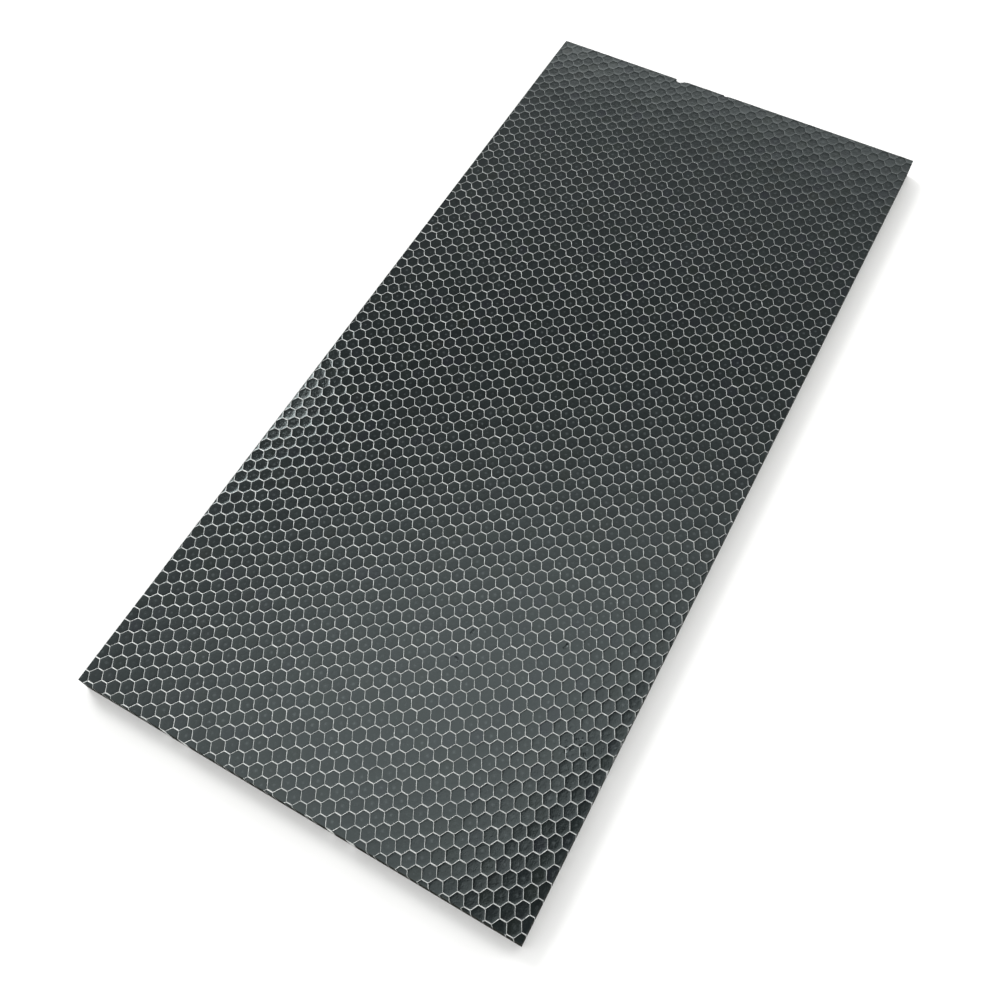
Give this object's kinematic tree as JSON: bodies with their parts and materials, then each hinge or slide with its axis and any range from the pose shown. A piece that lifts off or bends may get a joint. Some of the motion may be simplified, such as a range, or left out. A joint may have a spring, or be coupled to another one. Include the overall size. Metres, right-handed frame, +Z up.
{
  "type": "resin-filled honeycomb panel",
  "caption": "Thin rectangular slab of aluminium-foil honeycomb with every cell closed flush by dark glossy resin, sawn straight on all four sides.",
  "frame": {"origin": "middle of the underside", "axes": "+X along the foil ribbons, across the slab; +Y along the slab, the way the core was pulled open; +Z up through the cells"},
  "size_m": [0.1, 0.211, 0.005],
  "materials": {
    "foil": "satin",
    "resin": "gloss"
  },
  "bodies": {
    "root": {"foil_ribbons_01": "foil", "foil_ribbons_02": "foil", "foil_ribbons_03": "foil", "foil_ribbons_04": "foil", "foil_ribbons_05": "foil", "foil_ribbons_06": "foil", "foil_ribbons_07": "foil", "foil_ribbons_08": "foil", "foil_ribbons_09": "foil", "foil_ribbons_10": "foil", "foil_ribbons_11": "foil", "foil_ribbons_12": "foil", "foil_ribbons_13": "foil", "foil_ribbons_14": "foil", "foil_ribbons_15": "foil", "foil_ribbons_16": "foil", "foil_ribbons_17": "foil", "foil_ribbons_18": "foil", "foil_ribbons_19": "foil", "foil_ribbons_20": "foil", "foil_ribbons_21": "foil", "foil_ribbons_22": "foil", "foil_ribbons_23": "foil", "foil_ribbons_24": "foil", "foil_ribbons_25": "foil", "foil_ribbons_26": "foil", "foil_ribbons_27": "foil", "foil_ribbons_28": "foil", "foil_ribbons_29": "foil", "foil_ribbons_30": "foil", "foil_ribbons_31": "foil", "foil_ribbons_32": "foil", "foil_ribbons_33": "foil", "foil_ribbons_34": "foil", "foil_ribbons_35": "foil", "foil_ribbons_36": "foil", "foil_ribbons_37": "foil", "foil_ribbons_38": "foil", "foil_ribbons_39": "foil", "foil_ribbons_40": "foil", "foil_ribbons_41": "foil", "foil_ribbons_42": "foil", "foil_ribbons_43": "foil", "foil_ribbons_44": "foil", "foil_ribbons_45": "foil", "foil_ribbons_46": "foil", "resin_casting": "resin"}
  },
  "joints": []
}
